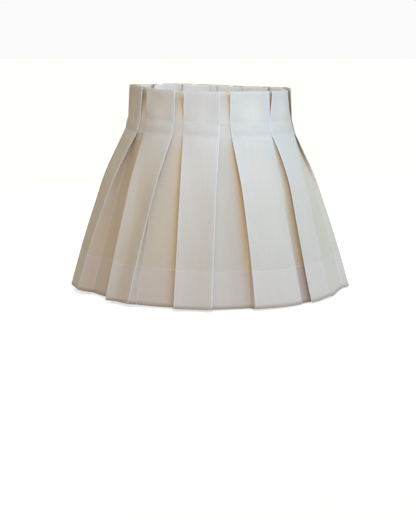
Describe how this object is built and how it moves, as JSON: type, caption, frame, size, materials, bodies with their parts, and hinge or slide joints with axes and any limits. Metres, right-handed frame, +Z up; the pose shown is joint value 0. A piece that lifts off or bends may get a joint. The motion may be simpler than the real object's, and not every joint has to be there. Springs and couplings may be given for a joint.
{
  "type": "lamp shade",
  "caption": "Box-pleated cloth empire lamp shade with a stand-up header, on a white wire frame with a reversible gimbal fitter and a reducer ring.",
  "frame": {"origin": "on the shade's axis, level with the bottom edge of the hem", "axes": "+Z up along the shade's axis, front towards -Y, the gimbal's hinge axis along X"},
  "size_m": [0.3504, 0.3504, 0.2466],
  "materials": {
    "cover_cloth": "undyed plain-weave cotton, matt, with seed specks",
    "tape": "cotton twill tape",
    "frame_wire": "white powder-coated wire",
    "gimbal_steel": "white powder-coated steel",
    "reducer_plastic": "moulded white plastic, satin"
  },
  "bodies": {
    "shade": {"pleated_cover": "cover_cloth", "heading_tape": "tape", "top_ring": "frame_wire", "bottom_ring": "frame_wire", "rib_1": "frame_wire", "rib_2": "frame_wire", "rib_3": "frame_wire", "rib_4": "frame_wire", "rib_5": "frame_wire", "rib_6": "frame_wire", "pivot_lug_left": "gimbal_steel", "pivot_lug_right": "gimbal_steel"},
    "gimbal": {"gimbal_arm_left": "gimbal_steel", "gimbal_arm_right": "gimbal_steel", "fitter_ring": "gimbal_steel"},
    "reducer": {"reducer_ring": "reducer_plastic"}
  },
  "joints": [
    {"name": "gimbal_swing", "type": "hinge", "parent": "shade", "child": "gimbal", "pos_m": [0, 0, 0.1919], "axis": [1, 0, 0], "continuous": true},
    {"name": "reducer_lift", "type": "slide", "parent": "gimbal", "child": "reducer", "axis": [0, 0, 1], "range_m": [0, 0.03]}
  ]
}
